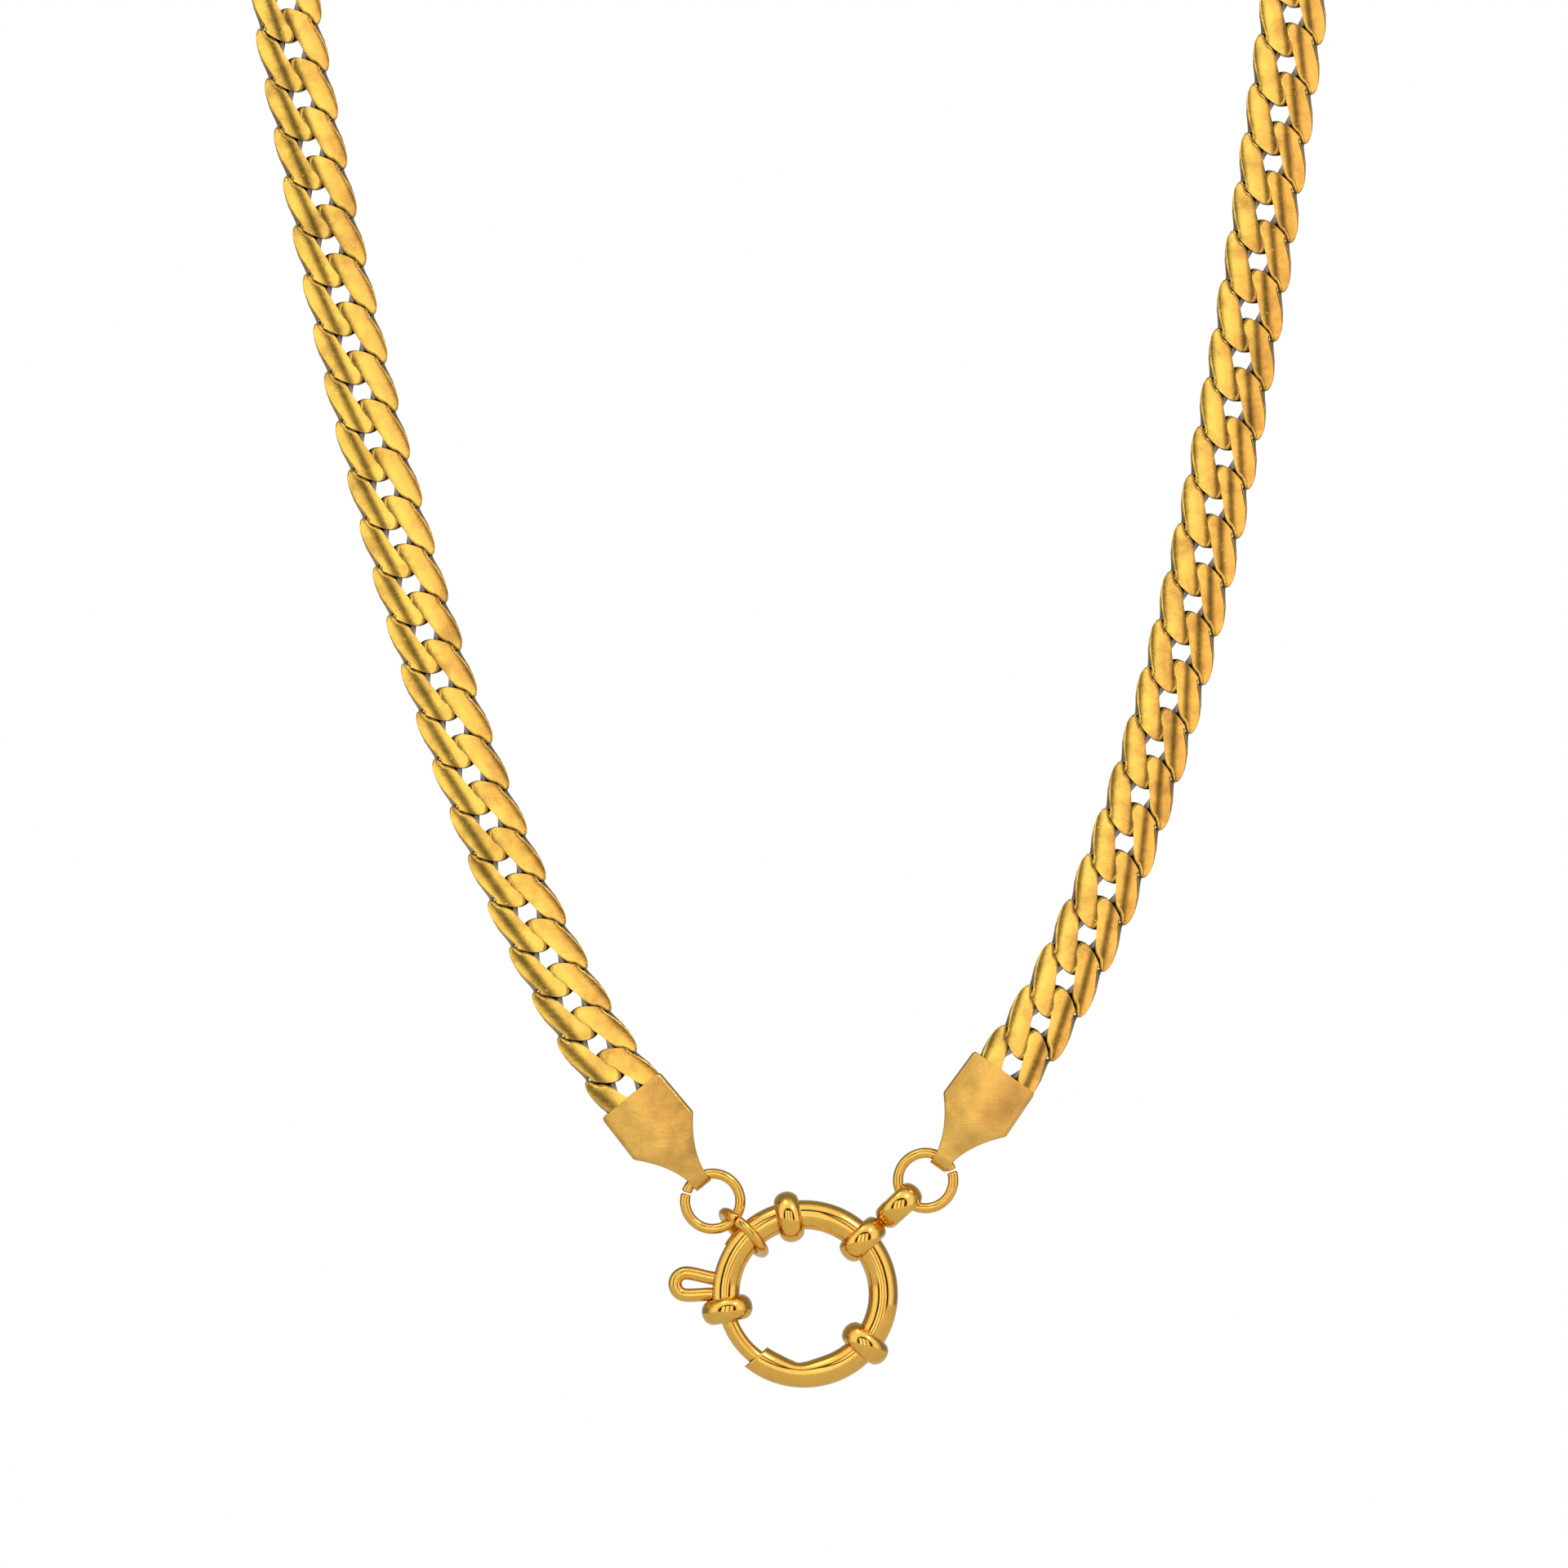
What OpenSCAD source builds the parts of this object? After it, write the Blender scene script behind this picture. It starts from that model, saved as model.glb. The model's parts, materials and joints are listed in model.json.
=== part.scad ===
// Curb chain necklace closed by a sailor clasp.
// It hangs upright: X runs to the wearer's left, Y runs back through the chain, Z is up.
// The origin is the spot at the middle of the nape where the chain rests on the neck.

/* [Chain] */
// Distance from one link to the next along the chain
link_pitch = 4.77; // [4:0.01:6]
// Width of the wire where two links hang in each other
wire_w = 1.6; // [1.2:0.05:2]
// Width of the wire along a link's two sides
side_w = 2.2; // [1.7:0.05:2.4]
// Height of the wire before its two faces are ground flat
wire_h = 2.2; // [1.6:0.05:2.3]
// Width across the chain
link_w = 6.65; // [5.6:0.05:8]
// Thickness of the chain between its ground faces
link_t = 2.44; // [2:0.02:3]
// Extra wire width at the middle of each ground face
lobe_swell = 0.1; // [0:0.01:0.2]
// Play between two links that hang in each other
link_play = 0.1; // [0.05:0.01:0.4]
// Room between the two wires that cross on each side of a link
lay_gap = 0.45; // [0.35:0.01:0.8]
// Links in each hanging strand, the one in the end cap included
strand_links = 23; // [15:1:23]
// Links that run round the nape between the two strands, an odd count
nape_links = 37; // [31:2:37]

/* [Hang] */
// Slope of the left strand just above its end cap, in degrees from level
lean_left = 54.6; // [50:0.1:60]
// Slope of the right strand just above its end cap, in degrees from level
lean_right = 52.5; // [50:0.1:60]
// How fast the left strand grows steeper: horizontal pull over weight
hang_left = 24.5; // [20:0.5:30]
// How fast the right strand grows steeper: horizontal pull over weight
hang_right = 16; // [14:0.5:22]
// Direction of the left end cap, away from the clasp
cap_angle_left = 127; // [120:0.5:132]
// Direction of the right end cap, away from the clasp
cap_angle_right = 53.4; // [48:0.1:60]

/* [End caps] */
// Length of an end cap from its neck to its mouth
cap_length = 11.2; // [9.5:0.1:13.5]
// Distance from the neck to the wide shoulders
cap_shoulder = 6.2; // [5:0.1:7]
// Thickness of the folded sheet
cap_wall = 0.28; // [0.2:0.01:0.35]
// Width of the strap that is folded round the jump ring
neck_w = 1.5; // [1.2:0.05:1.9]
// Room between the sheet and the link that it holds
cap_fit = 0.06; // [0.04:0.01:0.15]
// How far the centre of the held link stands outside the mouth
cap_reveal = 1.1; // [0.8:0.05:1.6]
// Radius of the eye that the strap forms
eye_r = 0.75; // [0.7:0.01:0.9]

/* [Rings] */
// Outside diameter of a jump ring
ring_od = 6.3; // [6:0.05:7.6]
// Wire diameter of a jump ring
ring_wire = 1.0; // [0.8:0.01:1.05]
// Angle of the cut where a jump ring was closed
ring_cut = 5; // [3:0.5:8]
// Lean of the clasp's jump ring away from square
ring_lean = 12; // [0:1:15]
// Gap left where one hanging piece bears on the next
hang_gap = 0.08; // [0.05:0.01:0.12]

/* [Clasp] */
// Outside diameter of the clasp ring
clasp_od = 18; // [15:0.1:21.6]
// Diameter of the clasp tube
tube_d = 2.82; // [2.4:0.02:2.9]
// Wall of the clasp tube
tube_wall = 0.34; // [0.28:0.01:0.4]
// Diameter of the bolt that closes the ring
bolt_d = 1.32; // [1.1:0.02:1.4]
// Running clearance round the bolt
bolt_fit = 0.07; // [0.04:0.01:0.09]
// Outside diameter of the beads and of the double link's eyes
bead_od = 4.8; // [4.5:0.05:5.2]
// Width of a bead along the tube
bead_w = 2.2; // [1.8:0.05:2.4]
// Angle round the ring where the left side hangs
pull_left = 134.6; // [132:0.1:137]
// Angle round the ring where the right side hangs
pull_right = 43; // [38:0.1:50]
// Angle round the ring of the trigger at rest
trigger_at = 173.6; // [172:0.1:175]
// Angle that the trigger and bolt travel to open the ring
trigger_travel = 16; // [12:1:17]
// Wire diameter of the trigger loop
trigger_wire = 0.96; // [0.8:0.02:1]
// Half the distance between the trigger's two legs
trigger_half = 0.98; // [0.85:0.01:1]
// How far the trigger stands out of the tube
trigger_out = 4.05; // [3:0.05:5]

/* [Hidden] */
$fn = 48;
gold = [0.85, 0.63, 0.22];
deep_gold = [0.76, 0.54, 0.18];

// Sizes that follow from the ones above
wire_r = wire_w / 2;
link_l = link_pitch + 2 * wire_w + link_play;
half_l = link_l / 2 - wire_r;
half_w = (link_w - side_w) / 2;
rise = wire_h / 2 + lay_gap;
link_steps = 14;
wire_sides = 8;
pair_count = strand_links + (nape_links - 1) / 2;

tube_r = tube_d / 2;
bore_r = tube_r - tube_wall;
clasp_r = clasp_od / 2 - tube_r;
bolt_r = bolt_d / 2;
tail_r = bore_r - bolt_fit;
ring_r = (ring_od - ring_wire) / 2;
ring_in = ring_od / 2 - ring_wire;
bead_r = bead_od / 2;
loop_in = tube_r + sag(clasp_r, bead_w / 2) + 1.4 * hang_gap;
loop_step = bead_od + hang_gap;
eye_out = eye_r + 0.35;

// Where each hanging piece sits, as a distance from the clasp's centre
clasp_ring_at = clasp_r - tube_r - hang_gap + ring_in;
left_ring_at = clasp_ring_at + ring_in - hang_gap - ring_wire / 2 + ring_r;
loop_at = clasp_r - sag(clasp_r, bead_w / 2) - tube_r - hang_gap + loop_in;
right_ring_at = loop_at + loop_step + loop_in - hang_gap - ring_wire / 2
    - sag(ring_r, bead_w / 2) + ring_r;
eye_at = ring_r - sag(ring_r, neck_w / 2) + eye_r - ring_wire / 2 - hang_gap;
mouth_x = cap_length - eye_out;

// Angles round the clasp: the tube, its beads, its slot and what it holds
mouth_end = -128;
tube_end = 190;
bead_half = asin(bead_w / 2 / clasp_r);
bead_top = 101;
bead_left = 191.5;
bead_low = -39;
leg_half = asin((trigger_half + trigger_wire / 2) / (clasp_r + tube_r));
tail_from = trigger_at - 9;
tail_to = trigger_at + 13.4;
tip_in = 2.5;
stop_from = bead_top + bead_half - 3;
stop_to = stop_from + 5.5;
spring_turns = 9;
spring_wire_r = 0.12;

function pair_name(k) = str("links_", k < 10 ? "0" : "", k);
function unit(a) = [cos(a), sin(a)];
function sag(r, half) = r - sqrt(r * r - half * half);
function total(v) = [for (p = v) 1] * v;

// ---- The run of the chain, in the plane that it hangs in ----

left_ring = left_ring_at * unit(pull_left);
right_ring = right_ring_at * unit(pull_right);
left_eye = left_ring + eye_at * unit(cap_angle_left);
right_eye = right_ring + eye_at * unit(cap_angle_right);
left_end = left_eye + (mouth_x + cap_reveal) * unit(cap_angle_left);
right_end = right_eye + (mouth_x + cap_reveal) * unit(cap_angle_right);

// A hanging chain's slope grows evenly with the length below it
function slope(k, lean, hang) = atan(tan(lean) + k * link_pitch / hang);
last = strand_links - 1;
left_up = [for (k = [0:last]) k == 0 ? cap_angle_left : 180 - slope(k, lean_left, hang_left)];
right_up = [for (k = [0:last]) k == 0 ? cap_angle_right : slope(k, lean_right, hang_right)];
left_foot = left_end - link_pitch / 2 * unit(cap_angle_left);
right_foot = right_end - link_pitch / 2 * unit(cap_angle_right);
left_top = left_foot + link_pitch * total([for (a = left_up) unit(a)]);
right_top = right_foot + link_pitch * total([for (a = right_up) unit(a)]);

// The nape: the direction turns evenly from one strand's top to the other's, and the
// two bulge values in q are found so that the last link meets the right strand
function nape_dirs(q) = [for (i = [1:nape_links]) let (u = i / (nape_links + 1))
    left_up[last] + (right_up[last] - 180 - left_up[last]) * u
    + q[0] * sin(360 * u) + q[1] * sin(180 * u)];
function nape_miss(q) = left_top - right_top
    + link_pitch * total([for (a = nape_dirs(q)) unit(a)]);
function close_nape(q, tries) = tries == 0 ? q :
    let (miss = nape_miss(q), d0 = nape_miss(q + [1, 0]) - miss, d1 = nape_miss(q + [0, 1]) - miss,
         det = d0.x * d1.y - d0.y * d1.x)
    close_nape(q - [miss.x * d1.y - miss.y * d1.x, d0.x * miss.y - d0.y * miss.x] / det, tries - 1);

dirs = concat(left_up, nape_dirs(close_nape([0, 0], 12)),
    [for (k = [last:-1:0]) right_up[k] - 180]);
count = len(dirs);
// Points where neighbouring links hang in each other, from the left foot round to the right
joints = [for (i = 0, g = left_foot; i <= count; g = g + link_pitch * unit(dirs[min(i, count - 1)]),
    i = i + 1) g];
centres = [for (i = [0:count - 1]) (joints[i] + joints[i + 1]) / 2];
middle = (count - 1) / 2;
nape = centres[middle] + link_w / 2 * unit(dirs[middle] - 90);

module upright() rotate([90, 0, 0]) translate([-nape.x, -nape.y, 0]) children();

// ---- One curb link: a wire loop twisted a quarter turn each way and ground flat ----

function link_line(t) = [half_l * cos(t), half_w * sin(t), -rise * sin(2 * t)];
function link_along(t) = let (v = [-half_l * sin(t), half_w * cos(t), -2 * rise * cos(2 * t)])
    v / norm(v);
function link_half(t) = wire_r + (side_w / 2 - wire_r) * pow(sin(t), 2)
    + lobe_swell * pow(sin(2 * t), 2);
function ground(p) = [p.x, p.y, max(-link_t / 2, min(link_t / 2, p.z))];
function link_section(t) = let (v = link_along(t), n = [v.y, -v.x, 0] / norm([v.x, v.y]),
    b = cross(n, v)) [for (k = [0:wire_sides - 1]) let (s = 360 * k / wire_sides)
    ground(link_line(t) + n * link_half(t) * cos(s) + b * wire_h / 2 * sin(s))];
link_points = [for (i = [0:link_steps - 1]) each link_section(360 * i / link_steps)];
function corner(i, k) = (i % link_steps) * wire_sides + k % wire_sides;
link_faces = [for (i = [0:link_steps - 1], k = [0:wire_sides - 1], half = [0, 1]) half == 0
    ? [corner(i, k), corner(i, k + 1), corner(i + 1, k + 1)]
    : [corner(i, k), corner(i + 1, k + 1), corner(i + 1, k)]];

module link() polyhedron(points = link_points, faces = link_faces);

module link_at(i) upright() translate(centres[i]) rotate([0, 0, dirs[i]]) link();

module nape_link() color(gold) link_at(middle);

// The links that are k away from the nape on either side
module link_pair(k) color(gold) {
    link_at(middle - k);
    link_at(middle + k);
}

// ---- End caps: folded sheet that grips the last link and ends in a strap eye ----

shoulder_x = cap_shoulder - eye_out;
shoulder_half = link_w / 2 + cap_fit + cap_wall;
mouth_half = half_w * sqrt(1 - pow(cap_reveal / half_l, 2)) + side_w / 2 + cap_fit + cap_wall;
face_half = link_t / 2 + cap_fit + cap_wall;
function cap_half(x) = neck_w / 2
    + (shoulder_half - neck_w / 2) * pow((x + eye_out) / cap_shoulder, 2);

// Outline seen from the front, taken in by inset, from x0 to past the mouth by over
module cap_outline(inset, x0, over) {
    flare = [for (s = [0:8]) let (x = x0 + (shoulder_x - x0) * s / 8) [x, cap_half(x) - inset]];
    side = concat(flare, [[mouth_x, mouth_half - inset], [mouth_x + over, mouth_half - inset]]);
    polygon(concat(side, [for (i = [len(side) - 1:-1:0]) [side[i].x, -side[i].y]]));
}

// Outline seen from the side: it swells from the strap to the chain's thickness
module cap_side(inset, x0, over) {
    side = [[x0, eye_out - inset], [shoulder_x, face_half - inset],
        [mouth_x + over, face_half - inset]];
    polygon(concat(side, [for (i = [len(side) - 1:-1:0]) [side[i].x, -side[i].y]]));
}

module cap_solid(inset, x0, over) intersection() {
    linear_extrude(height = 4 * face_half, center = true) cap_outline(inset, x0, over);
    rotate([90, 0, 0]) linear_extrude(height = 4 * shoulder_half, center = true)
        cap_side(inset, x0, over);
}

module end_cap() difference() {
    union() {
        cap_solid(0, 0, 0);
        rotate([90, 0, 0]) cylinder(r = eye_out, h = neck_w, center = true);
    }
    cap_solid(cap_wall, eye_out, 1);
    rotate([90, 0, 0]) cylinder(r = eye_r, h = 3 * neck_w, center = true);
}

module end_cap_left() color(deep_gold) upright()
    translate(left_eye) rotate([0, 0, cap_angle_left]) end_cap();

module end_cap_right() color(deep_gold) upright()
    translate(right_eye) rotate([0, 0, cap_angle_right]) end_cap();

// ---- Rings that join the caps to the clasp ----

// A bar bent round the origin from angle a0 to a1
module bent_bar(r, a0, a1, outer, inner = 0) rotate([0, 0, a0]) rotate_extrude(angle = a1 - a0)
    translate([r, 0]) difference() {
        circle(outer);
        if (inner > 0) circle(inner);
    }

module jump_ring(cut_at) bent_bar(ring_r, cut_at + ring_cut / 2, cut_at + 360 - ring_cut / 2,
    ring_wire / 2);

module jump_ring_left() color(gold) upright() translate(left_ring) jump_ring(163);

module jump_ring_right() color(gold) upright() translate(right_ring) jump_ring(12);

module clasp_jump_ring() color(gold) upright() rotate([0, 0, pull_left])
    translate([clasp_ring_at, 0, 0]) rotate([90 + ring_lean, 0, 0]) jump_ring(60);

// Two eyes side by side: one round the clasp tube, one round the right jump ring
module double_link() color(gold) upright() rotate([0, 0, pull_right]) translate([loop_at, 0, 0])
    rotate([90, 0, 0]) linear_extrude(height = bead_w, center = true) difference() {
        union() {
            circle(bead_r);
            translate([loop_step, 0]) circle(bead_r);
            translate([loop_step / 2, 0]) square([bead_r / 2, bead_r / 2], center = true);
        }
        circle(loop_in);
        translate([loop_step, 0]) circle(loop_in);
    }

// ---- Clasp: a hollow ring with a sprung bolt that slides round inside it ----

module clasp_tube() color(gold) upright() difference() {
    bent_bar(clasp_r, mouth_end, tube_end, tube_r, bore_r);
    trigger_slot();
}

// The slot through the outer wall that the trigger's legs run in
module trigger_slot() {
    slot_h = trigger_wire + 2 * bolt_fit;
    slot_from = trigger_at - trigger_travel - leg_half - 0.7;
    slot_to = trigger_at + leg_half + 0.7;
    rotate([0, 0, slot_from]) rotate_extrude(angle = slot_to - slot_from)
        translate([clasp_r + bore_r / 2, -slot_h / 2]) square([tube_r, slot_h]);
}

module bead(a) bent_bar(clasp_r, a - bead_half, a + bead_half, bead_r, tube_r);

module bead_top() color(gold) upright() bead(bead_top);

module bead_lower() color(gold) upright() bead(bead_low);

// The left bead closes the tube's end down to a guide hole for the bolt
module bead_left() color(gold) upright() {
    bent_bar(clasp_r, bead_left - bead_half, tube_end, bead_r, tube_r);
    bent_bar(clasp_r, tube_end, bead_left + bead_half, bead_r, bolt_r + bolt_fit);
}

// The bolt: a thin nose across the opening and a thick tail inside the tube
module clasp_bolt() color(deep_gold) upright() {
    bent_bar(clasp_r, tail_to, mouth_end + 360 + tip_in, bolt_r);
    bent_bar(clasp_r, tail_from, tail_to, tail_r);
}

// The trigger: a bent wire loop whose legs go through the slot and sit on the bolt's tail
module bolt_trigger() color(gold) upright() difference() {
    rotate([0, 0, trigger_at]) translate([clasp_r, 0, 0]) {
        reach = tube_r + trigger_out - trigger_half - trigger_wire / 2;
        for (side = [-1, 1]) translate([tail_r / 2, side * trigger_half, 0]) rotate([0, 90, 0])
            cylinder(r = trigger_wire / 2, h = reach - tail_r / 2);
        translate([reach, 0, 0]) bent_bar(trigger_half, -90, 90, trigger_wire / 2);
    }
    bent_bar(clasp_r, tail_from - 5, tail_to + 5, tail_r);
}

module spring_stop() color(deep_gold) upright() bent_bar(clasp_r, stop_from, stop_to, bore_r);

// The coil between the stop and the bolt's tail
spring_steps = spring_turns * 10;
spring_sides = 5;
function spring_ring(i) = let (f = i / spring_steps, w = 360 * spring_turns * f,
    a = stop_to + 1.2 + (tail_from - stop_to - 2.4) * f, out = [cos(a), sin(a), 0],
    along = [-sin(a), cos(a), 0], coil = cos(w) * out + sin(w) * [0, 0, 1],
    coil_r = tail_r - spring_wire_r)
    [for (k = [0:spring_sides - 1]) clasp_r * out + coil_r * coil
        + spring_wire_r * (cos(360 * k / spring_sides) * coil + sin(360 * k / spring_sides) * along)];

module clasp_spring() {
    points = [for (i = [0:spring_steps]) each spring_ring(i)];
    walls = [for (i = [0:spring_steps - 1], k = [0:spring_sides - 1])
        let (k1 = (k + 1) % spring_sides, b = i * spring_sides)
        [b + k, b + k1, b + spring_sides + k1, b + spring_sides + k]];
    first = [for (k = [spring_sides - 1:-1:0]) k];
    final = [for (k = [0:spring_sides - 1]) spring_steps * spring_sides + k];
    color("silver") upright() polyhedron(points, concat(walls, [first, final]));
}

nape_link();
for (k = [1:pair_count]) link_pair(k);
end_cap_left();
end_cap_right();
jump_ring_left();
jump_ring_right();
clasp_jump_ring();
double_link();
clasp_tube();
bead_top();
bead_left();
bead_lower();
clasp_bolt();
bolt_trigger();
clasp_spring();
spring_stop();
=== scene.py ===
"""Curb chain necklace with a sailor clasp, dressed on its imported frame.

Lengths are in metres. Pieces are drawn in a front frame (x right, y up, z towards the
viewer, the clasp's centre at zero unless a piece says otherwise) and then stood upright,
so the show side faces -Y.
"""

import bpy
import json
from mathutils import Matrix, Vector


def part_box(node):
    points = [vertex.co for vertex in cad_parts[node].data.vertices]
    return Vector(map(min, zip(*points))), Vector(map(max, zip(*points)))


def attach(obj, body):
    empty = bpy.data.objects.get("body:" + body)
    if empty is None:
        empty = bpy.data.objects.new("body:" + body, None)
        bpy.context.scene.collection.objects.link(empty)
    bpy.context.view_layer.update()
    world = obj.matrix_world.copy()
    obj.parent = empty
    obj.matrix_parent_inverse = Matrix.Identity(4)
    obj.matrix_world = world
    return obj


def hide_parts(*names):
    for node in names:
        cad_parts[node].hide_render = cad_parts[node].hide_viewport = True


bl_info = {
    "name": "Curb Chain Necklace",
    "version": (1, 0, 0),
    "blender": (4, 5, 0),
    "location": "3D View > Sidebar > Necklace",
    "description": "Builds a flat curb chain, its end caps, rings and sailor clasp",
    "category": "Add Mesh",
}

import json
import math

import bmesh
import bpy
import numpy as np
from bpy.props import FloatProperty, FloatVectorProperty, IntProperty, PointerProperty
from mathutils import Matrix, Vector

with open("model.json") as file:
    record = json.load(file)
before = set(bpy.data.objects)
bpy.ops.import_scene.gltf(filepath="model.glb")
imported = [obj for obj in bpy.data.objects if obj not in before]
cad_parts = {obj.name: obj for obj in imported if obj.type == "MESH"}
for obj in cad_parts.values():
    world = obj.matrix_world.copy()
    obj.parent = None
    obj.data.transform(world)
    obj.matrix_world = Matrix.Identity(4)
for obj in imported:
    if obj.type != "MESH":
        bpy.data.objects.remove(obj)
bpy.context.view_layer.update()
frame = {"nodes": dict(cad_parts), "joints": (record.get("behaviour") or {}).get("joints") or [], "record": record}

MM = 0.001
TURN = 2 * math.pi
UPRIGHT = Matrix.Rotation(math.pi / 2, 4, "X")
SMALLEST = 1e-6

# A curb link.
CLIMB_WAVE = 0.053  # share of a third wave, which flattens the tops of the wire's climb
FLARE = 0.19  # how much the wire widens towards its ground face
FLARE_POWER = 1.5
SIDE_POWER = 7.2  # how suddenly the wire grows tall along the sides
WALL_POWER = 0.67  # how the outer wall's height spreads across the wire
LOBE_OUT = 0.58  # a lobe's middle line and half width, as shares of half the link's width
LOBE_LEAN = 0.377
LOBE_HALF = 0.36
LOBE_PEAK = 0.45 * MM  # how far from the link's middle a lobe is widest
TAIL_CURVE = 270.0  # how fast a lobe narrows on each side of its peak, for each metre
HEAD_CURVE = 88.0
LEAST_BULGE = 0.69  # least half width of a lobe, as a share of half the link's width
GROUND_EDGE = 0.4 * MM  # height of metal taken off where a face counts as fully ground

# Clearances and fits.
CAP_FIT = 0.06 * MM  # between a cap's sheet and the link in it
EYE_FIT = 0.19 * MM  # between the tube and the double link's eye
BOLT_FIT = 0.07 * MM  # round the bolt in the tube, and round the trigger in its slot
BEAD_INWARD = 0.07 * MM  # how far a straight bead's middle lies inside the bent tube's line

# The marks in the plating: scales are for each metre, and ranges are of the noise's value. Below them, the chain's
# painted shade.
PATCH_SCALE = 420.0
PATCH_RANGE = (0.43, 0.7)
MOTTLE_SCALE = 5200.0
MOTTLE_RANGE = (0.35, 0.75)
MOTTLE_AMOUNT = 0.3
PIT_SCALE = 900.0
PIT_RANGE = (0.035, 0.09)
BRUSH_TURN = math.radians(28)
BRUSH_STRETCH = 0.16
BUMP_DEPTH = 0.00004
# Painted shade in the chain's crevices: the range of "ground" over which it fades out, and its colour as a share
# of the shade colour.
PAINTED_SHADE_RANGE = (0.05, 0.85)
PAINTED_SHADE_SHARE = 0.45

# Soft boxes in a row before the necklace, unseen by the camera: name, place across, width, glow, tint.
BOX_DISTANCE = 0.6
BOX_HEIGHT = 0.62
FRONT_BOXES = (
    ("left box", -0.215, 0.17, 1.5, (1.0, 1.0, 0.84)),
    ("left middle box", -0.037, 0.075, 1.6, (1.0, 1.0, 0.88)),
    ("right middle box", 0.038, 0.075, 1.5, (1.0, 0.86, 0.8)),
    ("right box", 0.215, 0.17, 1.4, (1.0, 0.82, 0.76)),
)

# The room seen in the metal: (place from the camera's side to the far side, light).
ROOM_LIGHT = ((0.0, 0.05), (0.05, 0.05), (0.065, 0.02), (0.115, 0.02), (0.15, 1.25), (0.3, 1.35),
              (0.42, 1.0), (0.5, 0.6), (0.62, 0.3), (0.8, 0.3), (1.0, 0.5))


def joint_place(name):
    """The place of a joint's axis in the frame."""
    return Vector(next(j for j in frame["joints"] if j["name"] == name)["pos_m"])


CLASP_CENTRE = joint_place("bolt_pull")
TUBE_LOW, TUBE_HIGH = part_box("clasp_tube")
TUBE_R = (TUBE_HIGH.y - TUBE_LOW.y) / 2
CLASP_R = TUBE_HIGH.x - CLASP_CENTRE.x - TUBE_R


def length(name, description, default, low, high):
    """A size that a user may change."""
    return FloatProperty(name=name, description=description, default=default, min=low, max=high,
                         subtype="DISTANCE", unit="LENGTH", precision=5)


def angle(name, description, degrees):
    """A direction or an angle that a user may change."""
    return FloatProperty(name=name, description=description, default=math.radians(degrees),
                         min=-TURN, max=TURN, subtype="ANGLE", unit="ROTATION")


def colour(name, description, default):
    """A colour that a user may change."""
    return FloatVectorProperty(name=name, description=description, default=default, size=3,
                               min=0.0, max=1.0, subtype="COLOR")


class ChainSizes(bpy.types.PropertyGroup):
    link_length: length("Link length", "Outside length of one link", 8.07 * MM, 0.004, 0.02)
    link_width: length("Link width", "Outside width of one link", 6.65 * MM, 0.003, 0.02)
    thickness: length("Thickness", "Chain thickness between its ground faces", 2.44 * MM, 0.001, 0.006)
    end_wire: length("End wire", "Wire width at a link's ends", 1.51 * MM, 0.0005, 0.004)
    side_wire: length("Side wire", "Wire width along a link's sides", 2.34 * MM, 0.0005, 0.005)
    lobe_wire: length("Lobe wire", "Extra wire width where the line is highest", 0.8 * MM, 0.0, 0.002)
    wire_height: length("Wire height", "Wire height at a link's ends", 1.92 * MM, 0.0005, 0.004)
    side_height: length("Side height", "Extra height of the wire along the sides", 1.0 * MM, 0.0, 0.003)
    wall_height: length("Wall height", "Extra height of the outer wall of the sides", 2.35 * MM, 0.0, 0.004)
    rise: length("Rise", "How far the wire's line climbs to each face", 1.83 * MM, 0.0005, 0.003)
    edge_round: length("Edge round", "Softness of the edge round a ground face", 0.045 * MM, 0.0, 0.0005)
    camber: length("Camber", "How much lower a face lies at the chain's edge", 0.12 * MM, 0.0, 0.001)
    dome: length("Dome", "How much lower a face lies at its own edges", 0.03 * MM, 0.0, 0.0005)
    waist: length("Waist", "How much narrower the back of the link is", 1.15 * MM, 0.0, 0.003)
    slant: FloatProperty(name="Slant", default=0.292, min=0.0, max=1.0,
                         description="Shear of the faces for each millimetre of width and height")
    squareness: FloatProperty(name="Squareness", default=2.51, min=1.5, max=5.0,
                              description="How square the wire's section is, 2 for an ellipse")
    tone_seed: IntProperty(name="Tone seed", default=7, min=0,
                           description="Seed of the small colour change from link to link")


class CapSizes(bpy.types.PropertyGroup):
    left_turn: angle("Left turn", "Direction of the left cap, away from the clasp", 129.0)
    right_turn: angle("Right turn", "Direction of the right cap, away from the clasp", 54.8)
    reach: length("Length", "Length from the neck to the mouth", 11.2 * MM, 0.004, 0.03)
    shoulder: length("Shoulder", "Distance from the neck to the shoulders", 6.2 * MM, 0.002, 0.02)
    sheet: length("Sheet", "Thickness of the folded sheet", 0.28 * MM, 0.0001, 0.001)
    neck: length("Neck", "Width of the strap round the ring", 1.6 * MM, 0.0005, 0.004)
    eye: length("Eye radius", "Inside radius of the strap's fold", 0.75 * MM, 0.0003, 0.003)
    ridge: length("Ridge", "Height of the soft crease down the middle", 0.2 * MM, 0.0, 0.001)


class RingSizes(bpy.types.PropertyGroup):
    wire: length("Wire", "Wire diameter of a jump ring", 1.0 * MM, 0.0003, 0.003)
    cut: angle("Cut", "Angle of the gap where a ring was closed", 3.5)
    left_cut_at: angle("Left cut", "Where the left ring is cut", 163.0)
    right_cut_at: angle("Right cut", "Where the right ring is cut", 20.0)
    hang_left: angle("Left hang", "Angle round the clasp where the left side hangs", 134.6)
    hang_right: angle("Right hang", "Angle round the clasp where the right side hangs", 43.0)
    lean: angle("Lean", "Lean of the clasp's jump ring away from square", 12.0)


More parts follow.
